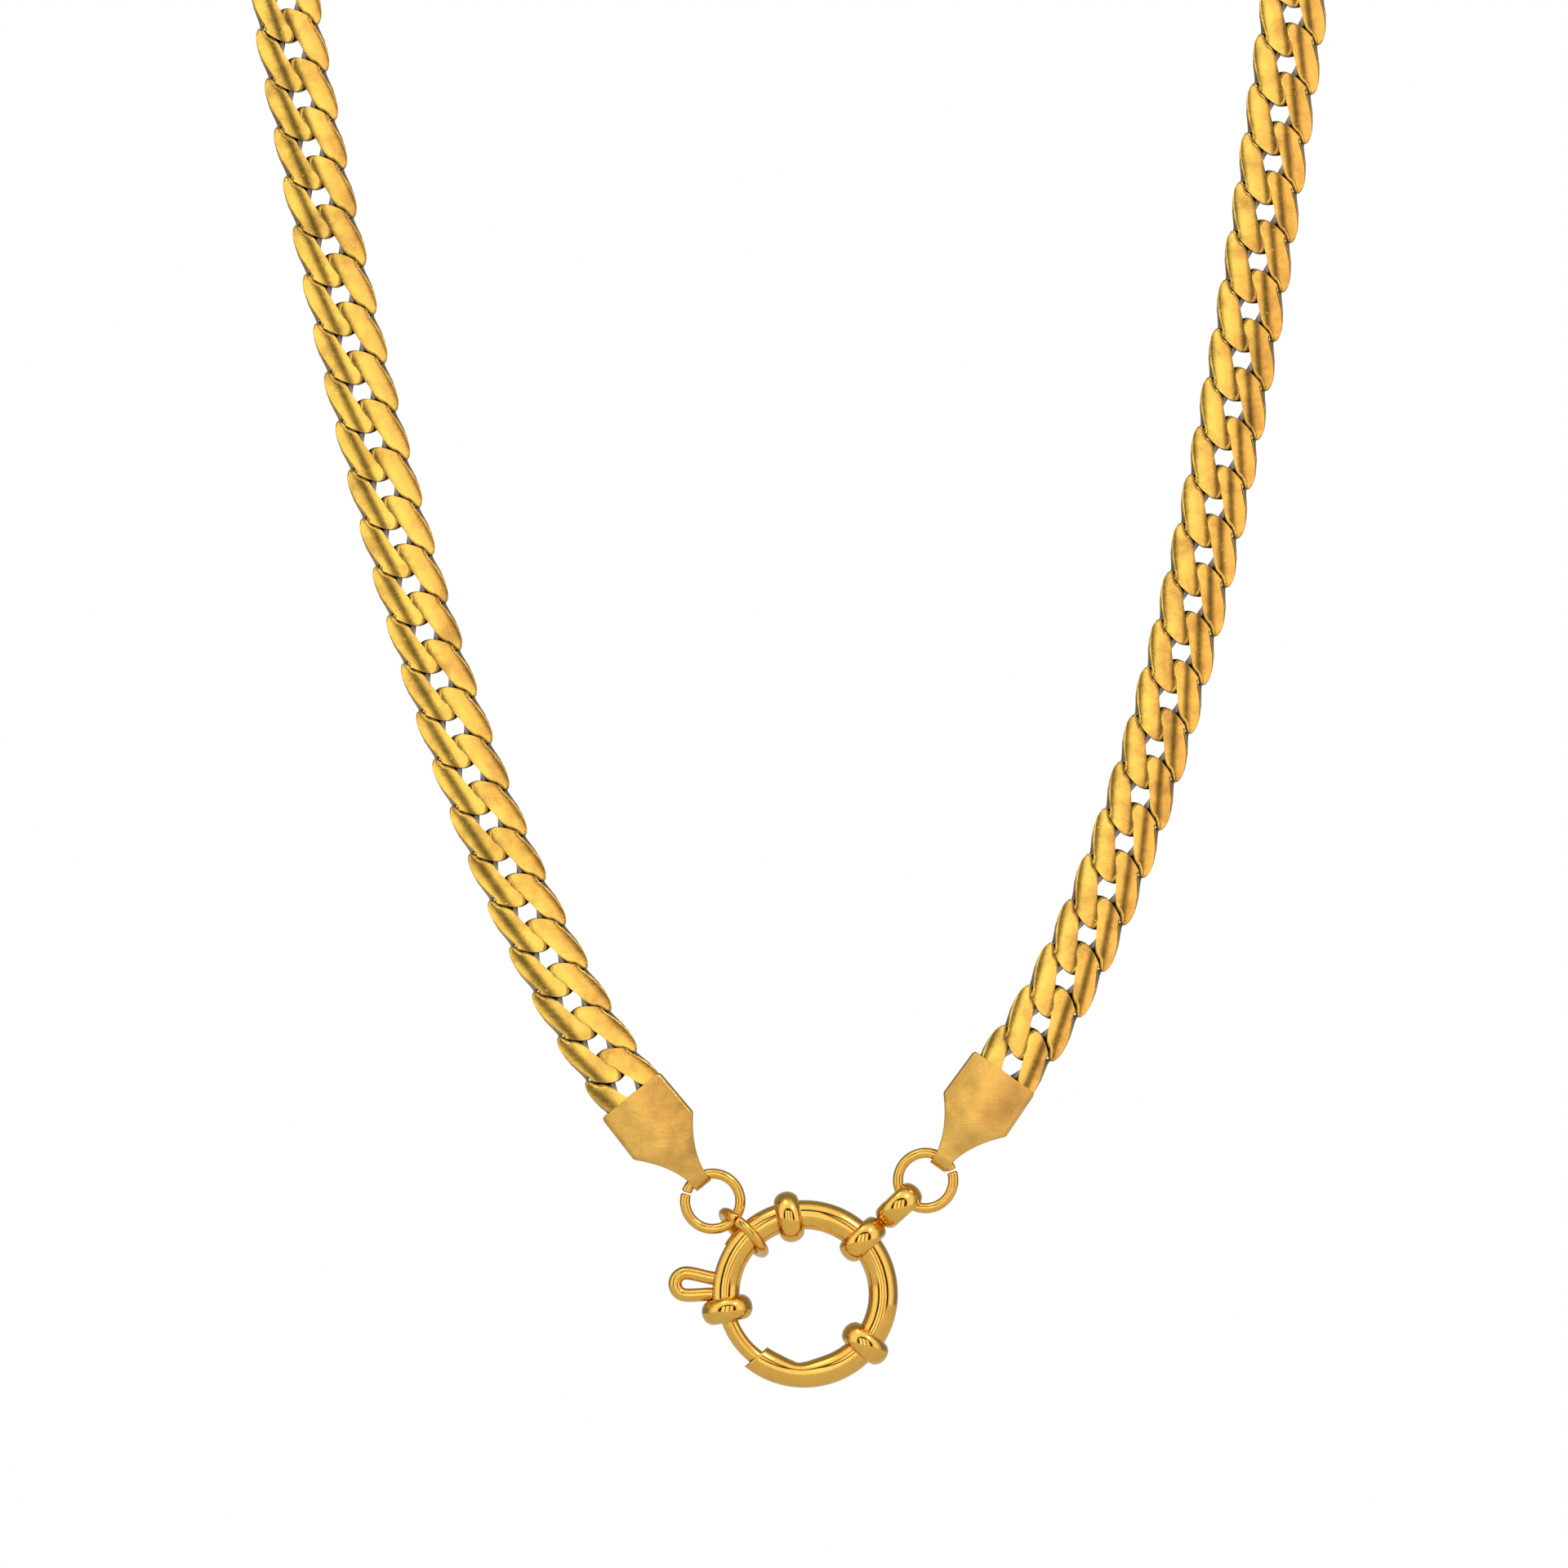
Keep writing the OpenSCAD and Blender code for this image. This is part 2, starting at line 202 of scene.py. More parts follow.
class ClaspSizes(bpy.types.PropertyGroup):
    tube_wall: length("Tube wall", "Wall of the clasp tube", 0.34 * MM, 0.0001, 0.001)
    bolt: length("Bolt", "Diameter of the bolt's nose", 1.55 * MM, 0.0005, 0.003)
    bead: length("Bead", "Outside diameter of a bead", 4.92 * MM, 0.003, 0.01)
    bead_width: length("Bead width", "Width of a bead along the tube", 2.4 * MM, 0.001, 0.005)
    mouth: angle("Mouth", "Where the tube's open end is", -127.0)
    tube_end: angle("Tube end", "Where the tube ends inside the left bead", 190.0)
    mouth_slant: angle("Mouth slant", "How much the open end slants", 2.4)
    bead_top: angle("Top bead", "Where the top bead sits", 101.0)
    bead_left: angle("Left bead", "Where the left bead sits", 191.5)
    bead_lower: angle("Lower bead", "Where the lower bead sits", -39.0)
    trigger: angle("Trigger", "Where the trigger stands at rest", 175.2)
    trigger_out: length("Trigger reach", "How far the trigger stands out", 4.05 * MM, 0.001, 0.01)
    trigger_wire: length("Trigger wire", "Wire diameter of the trigger", 1.3 * MM, 0.0003, 0.002)
    dent: length("Dent", "Depth of the dent in the tube's inner side", 0.34 * MM, 0.0, 0.001)


class GoldLook(bpy.types.PropertyGroup):
    chain: colour("Chain", "Colour of the chain's satin gold", (0.86, 0.53, 0.105))
    cap: colour("Cap", "Colour of the end caps", (0.80, 0.48, 0.12))
    polished: colour("Polished", "Colour of the rings and clasp", (0.84, 0.49, 0.1))
    # The shade colour is also the base of the painted shade in the chain's crevices.
    shade: colour("Shade", "Colour of the darker, worn patches", (0.45, 0.26, 0.06))
    steel: colour("Steel", "Colour of the spring", (0.60, 0.60, 0.62))


class StageSizes(bpy.types.PropertyGroup):
    field: length("Field", "Width of view at the necklace", 150.3 * MM, 0.05, 1.0)
    distance: length("Distance", "From the camera to the necklace", 1.6, 0.5, 5.0)
    centre_x: length("Centre across", "Where the camera looks, across", 1.0 * MM, -0.1, 0.1)
    centre_z: length("Centre up", "Where the camera looks, up", -132.4 * MM, -0.3, 0.1)
    floor_drop: length("Floor drop", "From the clasp down to the floor", 60 * MM, 0.0, 0.3)
    floor_width: length("Floor width", "Width of the floor", 0.9, 0.2, 3.0)


GROUPS = {
    "necklace_chain": ChainSizes,
    "necklace_caps": CapSizes,
    "necklace_rings": RingSizes,
    "necklace_clasp": ClaspSizes,
    "necklace_gold": GoldLook,
    "necklace_stage": StageSizes,
}


# ---- Meshes ----

def outward(mesh):
    """Merges doubles and turns every face outwards."""
    bm = bmesh.new()
    bm.from_mesh(mesh)
    bmesh.ops.remove_doubles(bm, verts=bm.verts, dist=1e-7)
    bmesh.ops.recalc_face_normals(bm, faces=bm.faces)
    bm.to_mesh(mesh)
    bm.free()
    mesh.update()


def new_object(name, mesh):
    """A new object in the scene, with smooth faces."""
    mesh.shade_smooth()
    piece = bpy.data.objects.new(name, mesh)
    bpy.context.scene.collection.objects.link(piece)
    return piece


def grid_mesh(name, rows, loop_rows=False, loop_columns=True, close_ends=False):
    """A mesh from rows of points, joined to the next row and along each row."""
    rows = np.asarray(rows, float)
    count, width = rows.shape[:2]
    faces = []
    for i in range(count if loop_rows else count - 1):
        for k in range(width if loop_columns else width - 1):
            a, b = (i % count) * width, ((i + 1) % count) * width
            k1 = (k + 1) % width
            faces.append((a + k, a + k1, b + k1, b + k))
    if close_ends:
        faces.append(tuple(range(width)))
        faces.append(tuple((count - 1) * width + k for k in reversed(range(width))))
    mesh = bpy.data.meshes.new(name)
    mesh.from_pydata([tuple(p) for p in rows.reshape(-1, 3)], [], faces)
    outward(mesh)
    return mesh


def stand(piece, turn=0.0, centre=CLASP_CENTRE):
    """Takes a piece from its front frame to its place in the necklace."""
    piece.data.transform(Matrix.Translation(centre) @ UPRIGHT @ Matrix.Rotation(turn, 4, "Z"))
    piece.data.update()
    return piece


def bent_rows(radius, angles, section):
    """Sections along an arc: section(a) gives points (out, up) from the arc's line."""
    rows = []
    for a in angles:
        out = np.array([math.cos(a), math.sin(a), 0.0])
        rows.append([(radius + s) * out + np.array([0, 0, t]) for s, t in section(a)])
    return rows


def round_section(radius, sides):
    """Points of a circle of the given radius."""
    angles = [TURN * k / sides for k in range(sides)]
    return [(radius * math.cos(q), radius * math.sin(q)) for q in angles]


def eased(u):
    """A share from 0 to 1 that starts and ends gently."""
    return u * u * (3 - 2 * u)


def rounded_ends(start, stop, radius, wire_r, steps, end_steps=5):
    """Angles along a bent wire and the scale of its section, rounded at both ends."""
    drawn_in = 0.35
    soft = wire_r * drawn_in / radius
    quarter = [math.pi / 2 * k / end_steps for k in range(end_steps)]
    end_scales = [(1 - drawn_in) + drawn_in * math.sin(q) for q in quarter]
    places = [start + soft * (1 - math.cos(q)) for q in quarter]
    places += [start + soft + (stop - start - 2 * soft) * k / steps for k in range(steps + 1)]
    places += [stop - soft * (1 - math.cos(q)) for q in reversed(quarter)]
    return places, end_scales + [1.0] * (steps + 1) + end_scales[::-1]


def wire_arc(name, radius, start, stop, wire_r, steps=96, sides=28):
    """A bent round wire with softened, closed ends."""
    places, scales = rounded_ends(start, stop, radius, wire_r, steps)
    scale_of = dict(zip(places, scales))
    rows = bent_rows(radius, places, lambda a: round_section(wire_r * scale_of[a], sides))
    return grid_mesh(name, rows, close_ends=True)


def joined(name, pieces):
    """Joins pieces into one solid by uniting them."""
    first = pieces[0]
    for other in pieces[1:]:
        unite = first.modifiers.new("unite", "BOOLEAN")
        unite.operation = "UNION"
        unite.solver = "EXACT"
        unite.object = other
        apply_modifiers(first)
        bpy.data.objects.remove(other)
    first.name = name
    return first


def apply_modifiers(piece):
    """Turns a piece and its modifiers into a plain mesh."""
    graph = bpy.context.evaluated_depsgraph_get()
    shown = piece.evaluated_get(graph)
    mesh = bpy.data.meshes.new_from_object(shown, preserve_all_data_layers=True, depsgraph=graph)
    piece.modifiers.clear()
    old = piece.data
    piece.data = mesh
    bpy.data.meshes.remove(old)
    mesh.name = piece.name


def finish_piece(piece, body, slot, material, *nodes):
    """Gives a piece its material and its body, and hides the CAD nodes that it stands for. The slot is not used.
    """
    piece.data.materials.clear()
    piece.data.materials.append(material)
    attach(piece, body)
    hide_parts(*nodes)


# ---- Materials ----

class Nodes:
    """Adds nodes to a material or world with few words."""

    def __init__(self, tree):
        self.tree = tree
        tree.nodes.clear()

    def add(self, kind, links=(), **settings):
        node = self.tree.nodes.new(kind)
        for key, value in settings.items():
            if key in node.inputs:
                node.inputs[key].default_value = value
            else:
                setattr(node, key, value)
        for name, source in links:
            self.tree.links.new(source, node.inputs[name])
        return node

    def join(self, source, target):
        self.tree.links.new(source, target)

    def ranged(self, source, low, high, to_low=0.0, to_high=1.0):
        """A value taken from one range to another."""
        ends = {"From Min": low, "From Max": high, "To Min": to_low, "To Max": to_high}
        return self.add("ShaderNodeMapRange", [("Value", source)], **ends).outputs[0]


def gold(name, base, shade, rough, rough_spread, grain, grain_depth,
         tone_amount=0.0, wear=0.35, painted_shade_amount=0.0):
    """Gold plate: soft worn patches, fine mottle, and a brushed grain with pits in it.

    tone_amount shifts the colour by a piece's own "tone". The last argument sets painted shade: it darkens
    the metal where "ground" says that no face was ground, standing in for the shadow in the crevices round the
    lobes.
    """
    material = bpy.data.materials.get(name)
    if material:
        return material
    material = bpy.data.materials.new(name)
    material.use_nodes = True
    n = Nodes(material.node_tree)
    place = n.add("ShaderNodeTexCoord").outputs["Object"]
    patches = n.add("ShaderNodeTexNoise", [("Vector", place)],
                    Scale=PATCH_SCALE, Detail=4.0, Roughness=0.6)
    fine = n.add("ShaderNodeTexNoise", [("Vector", place)],
                 Scale=MOTTLE_SCALE, Detail=3.0, Roughness=0.7)
    stretch = n.add("ShaderNodeMapping", [("Vector", place)])
    stretch.inputs["Rotation"].default_value = (0.0, BRUSH_TURN, 0.0)
    stretch.inputs["Scale"].default_value = (BRUSH_STRETCH, 1.0, 1.0)
    brush = n.add("ShaderNodeTexNoise", [("Vector", stretch.outputs[0])],
                  Scale=grain, Detail=5.0, Roughness=0.65)
    pits = n.add("ShaderNodeTexVoronoi", [("Vector", place)], Scale=PIT_SCALE, feature="F1")
    no_pit = n.ranged(pits.outputs["Distance"], *PIT_RANGE)
    wear_and_painted_shade_mask = n.ranged(patches.outputs[0], *PATCH_RANGE, 0.0, wear)
    mottle = n.ranged(fine.outputs[0], *MOTTLE_RANGE, 0.0, MOTTLE_AMOUNT)
    amount = n.add("ShaderNodeMath", [(0, wear_and_painted_shade_mask), (1, mottle)], operation="ADD", use_clamp=True).outputs[0]
    if tone_amount:
        tone = n.add("ShaderNodeAttribute", attribute_name="tone")
        shift = n.add("ShaderNodeMath", [(0, tone.outputs["Fac"]), (2, amount)], operation="MULTIPLY_ADD")
        shift.inputs[1].default_value = tone_amount
        amount = shift.outputs[0]
    tint = n.add("ShaderNodeMix", [("Factor", amount)], data_type="RGBA")
    tint.inputs["A"].default_value = (*base, 1)
    tint.inputs["B"].default_value = (*shade, 1)
    # Painted shade: darkens the metal where no face was ground, in the crevices and on the walls round the lobes,
    # where shadow falls.
    if painted_shade_amount:
        ground = n.add("ShaderNodeAttribute", attribute_name="ground")
        low = n.ranged(ground.outputs["Fac"], *PAINTED_SHADE_RANGE, painted_shade_amount, 0.0)
        tint = n.add("ShaderNodeMix", [("Factor", low), ("A", tint.outputs["Result"])], data_type="RGBA")
        tint.inputs["B"].default_value = (*(c * PAINTED_SHADE_SHARE for c in shade), 1)
    roughness = n.ranged(brush.outputs[0], 0.0, 1.0, rough - rough_spread, rough + rough_spread)
    relief = n.add("ShaderNodeMath", [(0, brush.outputs[0]), (1, no_pit)], operation="MULTIPLY")
    bump = n.add("ShaderNodeBump", [("Height", relief.outputs[0])])
    bump.inputs["Strength"].default_value = grain_depth
    bump.inputs["Distance"].default_value = BUMP_DEPTH
    shader = n.add("ShaderNodeBsdfPrincipled", [("Base Color", tint.outputs["Result"]),
                                                ("Roughness", roughness),
                                                ("Normal", bump.outputs[0])], Metallic=1.0)
    n.add("ShaderNodeOutputMaterial", [("Surface", shader.outputs[0])])
    return material


def chain_gold():
    look = bpy.context.scene.necklace_gold
    # The chain's colour carries painted shade in its crevices, set by the last argument.
    return gold("satin chain gold", look.chain, look.shade, rough=0.12, rough_spread=0.04,
                grain=2600.0, grain_depth=0.2, tone_amount=0.1, wear=0.75, painted_shade_amount=1.0)


def cap_gold():
    look = bpy.context.scene.necklace_gold
    return gold("satin sheet gold", look.cap, look.shade, rough=0.24, rough_spread=0.07,
                grain=3600.0, grain_depth=0.5, wear=0.6)


def polished_gold():
    look = bpy.context.scene.necklace_gold
    return gold("polished gold", look.polished, look.shade, rough=0.1, rough_spread=0.03,
                grain=1500.0, grain_depth=0.07, wear=0.2)


def spring_steel():
    """Drawn spring wire: grey, with fine drawing lines."""
    look = bpy.context.scene.necklace_gold
    dull = tuple(c * 0.6 for c in look.steel)
    return gold("drawn spring steel", look.steel, dull, rough=0.3, rough_spread=0.08,
                grain=3000.0, grain_depth=0.2)


# ---- Chain ----

def power(value, exponent):
    """A power that keeps the sign of its base."""
    return np.sign(value) * np.abs(value) ** exponent


def soft_limit(value, limit, soft):
    """The value, held below a limit with a softened corner."""
    held = -soft * np.logaddexp(-np.abs(value) / soft, -limit / soft)
    return np.sign(value) * np.maximum(held, 0.0)


def link_mesh(sizes, steps=112, sides=48):
    """One curb link: a loop of wire twisted a quarter turn each way, both faces ground flat.

    The outer wall is raised along the sides, so each ground face runs on past the middle
    of the link, and a shear that grows with height slants the faces. The front is wider
    than the back, with a bulge near each lobe's peak. "ground" is 1 on the ground faces.
    """
    half_w, half_t = sizes.link_width / 2, sizes.thickness / 2
    end_half, side_half = sizes.end_wire / 2, sizes.side_wire / 2
    soft = max(sizes.edge_round, SMALLEST)
    t = (TURN * np.arange(steps) / steps)[:, None]
    s = (TURN * (np.arange(sides) + 0.5) / sides)[None, :]
    line_l, line_w = sizes.link_length / 2 - end_half, half_w - side_half
    lift = np.sin(2 * t) + CLIMB_WAVE * np.sin(6 * t)
    line = np.stack([line_l * np.cos(t), line_w * np.sin(t), -sizes.rise * lift], 2)
    climb = 2 * np.cos(2 * t) + 6 * CLIMB_WAVE * np.cos(6 * t)
    along = np.stack([-line_l * np.sin(t), line_w * np.cos(t), -sizes.rise * climb], 2)
    along /= np.linalg.norm(along, axis=2, keepdims=True)
    out = np.stack([along[..., 1], -along[..., 0], 0 * t], 2)
    out /= np.linalg.norm(out, axis=2, keepdims=True)
    up = np.cross(out, along)
    across, high = power(np.cos(s), 2 / sizes.squareness), power(np.sin(s), 2 / sizes.squareness)
    width = end_half + (side_half - end_half) * np.sin(t) ** 2
    width = width + sizes.lobe_wire / 2 * np.sin(2 * t) ** 2
    width = width * (1 + FLARE * np.clip(-lift * high, 0, 1) ** FLARE_POWER)
    middle = np.abs(np.sin(t)) ** SIDE_POWER
    height = sizes.wire_height / 2 + sizes.side_height / 2 * middle
    height = height + sizes.wall_height / 2 * middle * np.clip(across, 0, None) ** WALL_POWER
    points = line + out * (width * across)[..., None] + up * (height * high)[..., None]
    x, y, z = (points[..., k] for k in range(3))
    side = np.where(np.sin(t) >= 0, 1, -1)
    lobe_x = x * side * np.where(z > 0, 1, -1)
    from_axis = y * side / half_w - LOBE_OUT - LOBE_LEAN * lobe_x / half_w
    face = half_t - sizes.camber * (y / half_w) ** 2 - sizes.dome * (from_axis / LOBE_HALF) ** 2
    ground = np.clip((np.abs(z) - face) / GROUND_EDGE, 0, 1)
    z = np.clip(soft_limit(z, face, soft), -half_t, half_t)
    past_peak = lobe_x - LOBE_PEAK
    bulge = half_w - np.where(past_peak > 0, TAIL_CURVE, HEAD_CURVE) * past_peak ** 2
    bulge = np.maximum(bulge, LEAST_BULGE * half_w)
    front = np.clip(z / MM + 0.5, 0, 1)
    waist = np.minimum(bulge, half_w - sizes.waist / 2)
    y = soft_limit(y, waist + (bulge - waist) * front, soft)
    x = x + sizes.slant / MM * y * z
    mesh = grid_mesh("curb_link", np.stack([x, y, z], 2), loop_rows=True)
    # "ground" is also the mask of the chain's painted shade, which darkens the metal off the ground faces.
    wear_and_painted_shade_mask = mesh.attributes.new("ground", "FLOAT", "POINT")
    wear_and_painted_shade_mask.data.foreach_set("value", ground.ravel())
    return mesh


def node_points(name):
    """The separate corner points of a CAD node's mesh."""
    mesh = frame["nodes"][name].data
    points = np.empty(len(mesh.vertices) * 3)
    mesh.vertices.foreach_get("co", points)
    return np.unique(points.reshape(-1, 3).round(7), axis=0)


def link_seats(name):
    """Centre and direction of each link in a CAD node, from the spread of its corners."""
    points = node_points(name)
    groups = [points] if name == "nape_link" else [points[points[:, 0] < 0], points[points[:, 0] > 0]]
    seats = []
    for group in groups:
        centre = group.mean(axis=0)
        flat = (group - centre)[:, [0, 2]]
        _, axes = np.linalg.eigh(flat.T @ flat)
        seats.append((centre, math.atan2(axes[1, 1], axes[0, 1])))
    return seats


def link_tree():
    """Geometry nodes that set a link on every seat point, turned by the point's own turn."""
    tree = bpy.data.node_groups.new("curb links", "GeometryNodeTree")
    face = tree.interface
    face.new_socket("Seats", in_out="INPUT", socket_type="NodeSocketGeometry")
    face.new_socket("Link", in_out="INPUT", socket_type="NodeSocketObject")
    face.new_socket("Gold", in_out="INPUT", socket_type="NodeSocketMaterial")
    face.new_socket("Size", in_out="INPUT", socket_type="NodeSocketFloat").default_value = 1.0
    face.new_socket("Tone seed", in_out="INPUT", socket_type="NodeSocketInt")
    face.new_socket("Chain", in_out="OUTPUT", socket_type="NodeSocketGeometry")
    n = Nodes(tree)
    given = n.add("NodeGroupInput").outputs
    link = n.add("GeometryNodeObjectInfo", [("Object", given["Link"])])
    turn = n.add("GeometryNodeInputNamedAttribute", data_type="FLOAT_VECTOR", Name="turn")
    number = n.add("GeometryNodeInputNamedAttribute", data_type="INT", Name="number")
    seat = n.add("GeometryNodeInstanceOnPoints", [("Points", given["Seats"]),
                                                 ("Instance", link.outputs["Geometry"]),
                                                 ("Rotation", turn.outputs["Attribute"]),
                                                 ("Scale", given["Size"])])
    tone = n.add("FunctionNodeRandomValue", [("ID", number.outputs["Attribute"]),
                                             ("Seed", given["Tone seed"])], data_type="FLOAT")
    store = n.add("GeometryNodeStoreNamedAttribute", [("Geometry", seat.outputs[0])],
                  data_type="FLOAT", domain="INSTANCE", Name="tone")
    drawn = next(o for o in tone.outputs if o.enabled)
    n.join(drawn, next(i for i in store.inputs if i.name == "Value" and i.enabled))
    real = n.add("GeometryNodeRealizeInstances", [("Geometry", store.outputs[0])])
    dress = n.add("GeometryNodeSetMaterial", [("Geometry", real.outputs[0]), ("Material", given["Gold"])])
    n.add("NodeGroupOutput", [("Chain", dress.outputs[0])])
    return tree


def seat_object(name, seats, first_number):
    """A mesh of seat points that carry the turn and number of each link."""
    mesh = bpy.data.meshes.new(name)
    mesh.from_pydata([tuple(centre) for centre, _ in seats], [], [])
    mesh.attributes.new("turn", "FLOAT_VECTOR", "POINT")
    mesh.attributes.new("number", "INT", "POINT")
    for i, (_, direction) in enumerate(seats):
        mesh.attributes["turn"].data[i].vector = (math.pi / 2, -direction, 0.0)
        mesh.attributes["number"].data[i].value = first_number + i
    piece = bpy.data.objects.new(name, mesh)
    bpy.context.scene.collection.objects.link(piece)
    return piece


class NECKLACE_OT_chain(bpy.types.Operator):
    """Set a curb link on every place that the frame gives"""
    bl_idname = "necklace.make_chain"
    bl_label = "Make Chain"

    def execute(self, context):
        sizes = context.scene.necklace_chain
        pattern = new_object("link_pattern", link_mesh(sizes))
        tree = link_tree()
        sockets = {item.name: item.identifier
                   for item in tree.interface.items_tree if item.in_out == "INPUT"}
        bodies = {node: body
                  for body, nodes in frame["record"]["behaviour"]["bodies"].items() for node in nodes}
        names = sorted(n for n in frame["nodes"] if n == "nape_link" or n.startswith("links_"))
        for order, name in enumerate(names):
            piece = seat_object("curb_" + name, link_seats(name), 2 * order)
            build = piece.modifiers.new("links", "NODES")
            build.node_group = tree
            build[sockets["Link"]] = pattern
            build[sockets["Gold"]] = chain_gold()
            build[sockets["Size"]] = 1.0
            build[sockets["Tone seed"]] = sizes.tone_seed
            apply_modifiers(piece)
            finish_piece(piece, bodies[name], "chain_gold", chain_gold(), name)
        bpy.data.objects.remove(pattern)
        return {"FINISHED"}


# ---- End caps ----

def cap_rows(sizes, chain):
    """Rows across a folded cap: in at the front of the mouth, round the eye, out at the back.

    The cap's own frame has its eye at zero and its mouth along +x.
    """
    sheet = sizes.sheet
    eye = sizes.eye + sheet
    mouth = sizes.reach - eye
    shoulder = sizes.shoulder - eye
    wide = chain.link_width / 2 + sheet + CAP_FIT
    at_mouth = wide - 0.1 * MM
    deep = chain.thickness / 2 + sheet + CAP_FIT
    corner = 0.45 * MM
    neck = sizes.neck / 2
    deepen_from = 0.2 * MM
    fold_lead, fold_length, least_fold = 1.3 * MM, 1.5 * MM, 0.06
    hem, hem_gap = 0.02 * MM, 0.03 * MM
    crease_length, blunt = 5 * MM, 0.25
    strap_from = 0.3 * MM

    def half_width(x):
        if x < shoulder:
            return neck + (wide - neck) * max(0.0, (x + eye) / (shoulder + eye)) ** 2
        lip = max(0.0, x - mouth + corner)
        rounding = corner - math.sqrt(max(0.0, corner * corner - lip * lip))
        return wide + (at_mouth - wide) * (x - shoulder) / (mouth - shoulder) - rounding * 0.6

    def depth(x):
        return eye + (deep - eye) * eased(min(1.0, max(0.0, (x - deepen_from) / (shoulder - deepen_from))))

    def wall(x):
        """How far the sheet is folded down at the sides: full past the shoulders, none at the neck."""
        u = min(1.0, max(0.0, (x - shoulder + fold_lead) / fold_length))
        return least_fold + (1 - least_fold) * eased(u)

    def across(x, front):
        half, top, fold = half_width(x), depth(x), wall(x)
        r = corner * (0.25 + 0.75 * fold)
        drop = (top - hem_gap - r) * fold + hem
        points = [(-half, top - r - drop * (1 - k / 3)) for k in range(3)]
        for k in range(6):
            q = math.pi / 2 * k / 5
            points.append((-half + r * (1 - math.cos(q)), top - r + r * math.sin(q)))
        flat = half - r
        inner = [(-flat + 2 * flat * k / 16, top) for k in range(1, 16)]
        points += inner + [(-y, z) for y, z in reversed(points)]
        ridge = sizes.ridge * eased(min(1.0, max(0.0, (x + eye) / crease_length)))
        low, high = math.sqrt(blunt), math.sqrt(1 + blunt)
        lifted = []
        for y, z in points:
            v = min(1.0, abs(y) / max(flat, SMALLEST))
            crest = 1 - (math.sqrt(v * v + blunt) - low) / (high - low)
            lifted.append((x, y, (z + ridge * max(0.0, crest)) * (1 if front else -1)))
        return lifted

    lips = [mouth - corner * (1 - math.cos(math.pi / 2 * k / 8)) for k in range(8)]
    stations = lips + [mouth - corner + (strap_from - mouth + corner) * k / 44 for k in range(45)]
    rows = [across(x, True) for x in stations]
    width, last = len(rows[0]), rows[-1]
    for k in range(1, 16):
        q = math.pi * k / 16
        turn_x, turn_z = strap_from - (eye + strap_from) * math.sin(q), eye * math.cos(q)
        row = []
        for c in range(width):
            _, y, edge = last[c]
            row.append((turn_x, y * (1 - 0.08 * math.sin(q)), turn_z + (edge - eye) * math.cos(q)))
        rows.append(row)
    rows += [across(x, False) for x in reversed(stations)]
    return rows


def make_cap(name, turn, node):
    """A folded sheet cap whose eye stands where the frame has it."""
    sizes, chain = bpy.context.scene.necklace_caps, bpy.context.scene.necklace_chain
    mesh = grid_mesh(name, cap_rows(sizes, chain), loop_columns=False)
    piece = new_object(name, mesh)
    skin = piece.modifiers.new("sheet", "SOLIDIFY")
    skin.thickness = sizes.sheet
    skin.offset = -1.0
    skin.use_even_offset = False
    apply_modifiers(piece)
    points = node_points(node)
    along = np.array([math.cos(turn), 0.0, math.sin(turn)])
    side = np.array([-math.sin(turn), 0.0, math.cos(turn)])
    reach, spread = points @ along, points @ side
    strap = 0.35 * MM
    eye = (reach.min() + sizes.eye + strap) * along + (spread.max() + spread.min()) / 2 * side
    return stand(piece, turn, Vector(eye))


class NECKLACE_OT_caps(bpy.types.Operator):
    """Fold the two end caps round the chain's ends"""
    bl_idname = "necklace.make_end_caps"
    bl_label = "Make End Caps"

    def execute(self, context):
        sizes = context.scene.necklace_caps
        for side, turn in (("left", sizes.left_turn), ("right", sizes.right_turn)):
            piece = make_cap("cap_" + side, turn, "end_cap_" + side)
            finish_piece(piece, "end_caps", "cap_gold", cap_gold(), "end_cap_" + side)
        return {"FINISHED"}


# ---- Rings ----

def node_centre(name):
    """The middle of a CAD node's box."""
    low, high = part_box(name)
    return (low + high) / 2


class NECKLACE_OT_rings(bpy.types.Operator):
    """Bend the two jump rings of the caps and the one of the clasp"""
    bl_idname = "necklace.make_jump_rings"
    bl_label = "Make Jump Rings"

    def execute(self, context):
        sizes = context.scene.necklace_rings
        wire_r = sizes.wire / 2
        low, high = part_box("jump_ring_left")
        radius = (high.x - low.x) / 2 - wire_r
        for side, cut_at in (("left", sizes.left_cut_at), ("right", sizes.right_cut_at)):
            node = "jump_ring_" + side
            start = cut_at + sizes.cut / 2
            mesh = wire_arc(node, radius, start, start + TURN - sizes.cut, wire_r)
            piece = stand(new_object("ring_" + side, mesh), 0.0, node_centre(node))
            finish_piece(piece, "rings", "ring_gold", polished_gold(), node)
        mesh = wire_arc("ring_clasp", radius, sizes.cut / 2, TURN - sizes.cut / 2, wire_r)
        piece = new_object("ring_clasp", mesh)
        cut_away = Matrix.Rotation(math.radians(60), 4, "Z")
        piece.data.transform(Matrix.Rotation(math.pi / 2 + sizes.lean, 4, "X") @ cut_away)
        stand(piece, sizes.hang_left, node_centre("clasp_jump_ring"))
        finish_piece(piece, "connectors", "ring_gold", polished_gold(), "clasp_jump_ring")
        return {"FINISHED"}


def barrel_section(inner, outer, half_width, steps=24):
    """Profile of a bead: (along, out) points over a rounded outer side and along its bore."""
    least_wall, bore_share = 0.06 * MM, 0.97
    edge = max(inner + least_wall, outer - half_width)
    points = []
    for k in range(steps + 1):
        q = math.pi * k / steps
        points.append((-half_width * math.cos(q), edge + (outer - edge) * math.sin(q)))
    points.append((half_width * bore_share, inner))
    points.append((-half_width * bore_share, inner))
    return points


